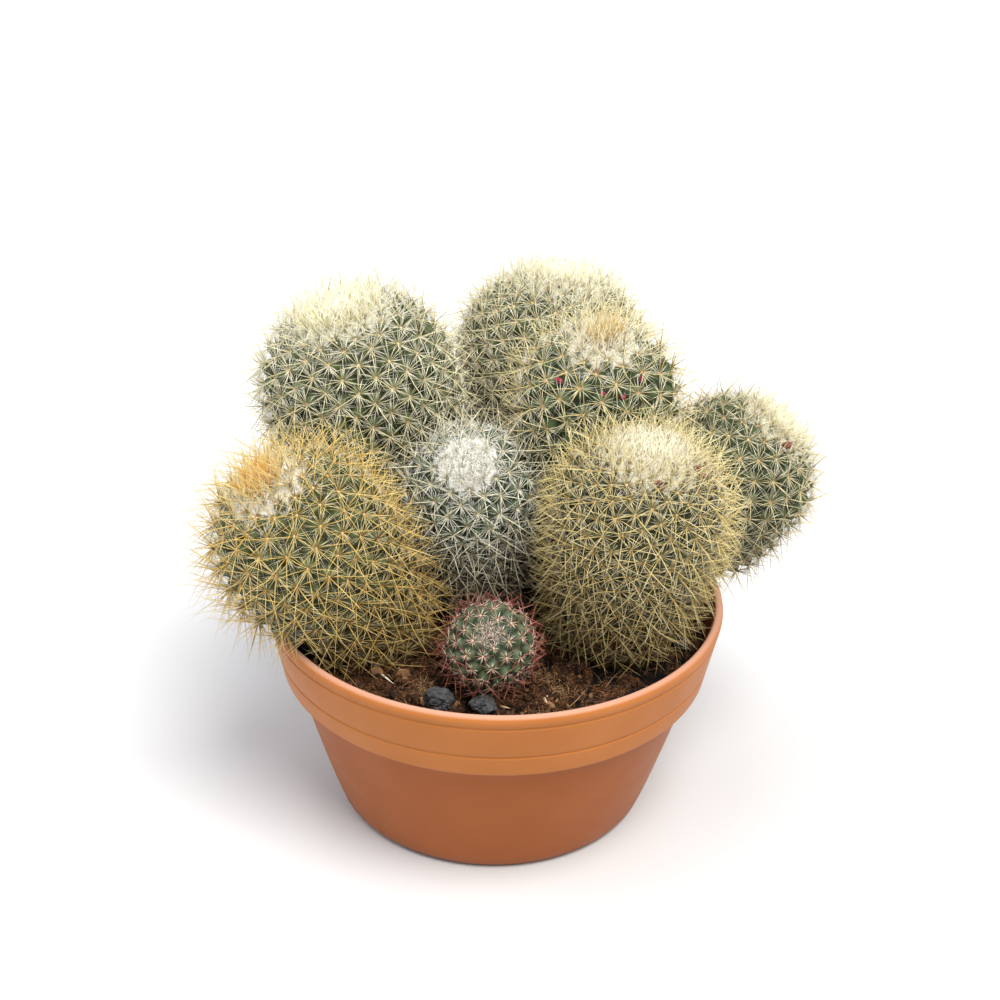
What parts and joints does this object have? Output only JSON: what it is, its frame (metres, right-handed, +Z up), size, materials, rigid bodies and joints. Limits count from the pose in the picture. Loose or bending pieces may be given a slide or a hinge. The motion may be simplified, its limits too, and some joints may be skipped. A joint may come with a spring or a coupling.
{
  "type": "potted round cactus",
  "caption": "Clump of round spiny cactus heads growing in a terracotta-coloured round bowl of dark soil with a little gravel.",
  "frame": {"origin": "middle of the pot's flat underside, on the pot's axis", "axes": "+Z up along the pot's axis; -Y is the front, the side the picture was taken from; +X to the right seen from the front"},
  "size_m": [0.329, 0.2854, 0.2605],
  "materials": {
    "pot": "satin",
    "soil": "matte",
    "stone": "matte",
    "fruit": "satin",
    "head_front_right": "satin",
    "head_front_left": "satin",
    "head_small": "satin",
    "head_centre": "satin",
    "head_right": "satin",
    "head_centre_right": "satin",
    "head_back_left": "satin",
    "head_back_centre": "satin"
  },
  "bodies": {
    "root": {"pot": "pot", "soil": "soil", "stone_front": "stone", "stone_middle": "stone", "stone_right": "stone", "pod_1": "fruit", "pod_2": "fruit", "pod_3": "fruit", "pod_4": "fruit", "pod_5": "fruit", "pod_6": "fruit", "head_front_right": "head_front_right", "head_front_left": "head_front_left", "head_small": "head_small", "head_centre": "head_centre", "head_right": "head_right", "head_centre_right": "head_centre_right", "head_back_left": "head_back_left", "head_back_centre": "head_back_centre"}
  },
  "joints": []
}
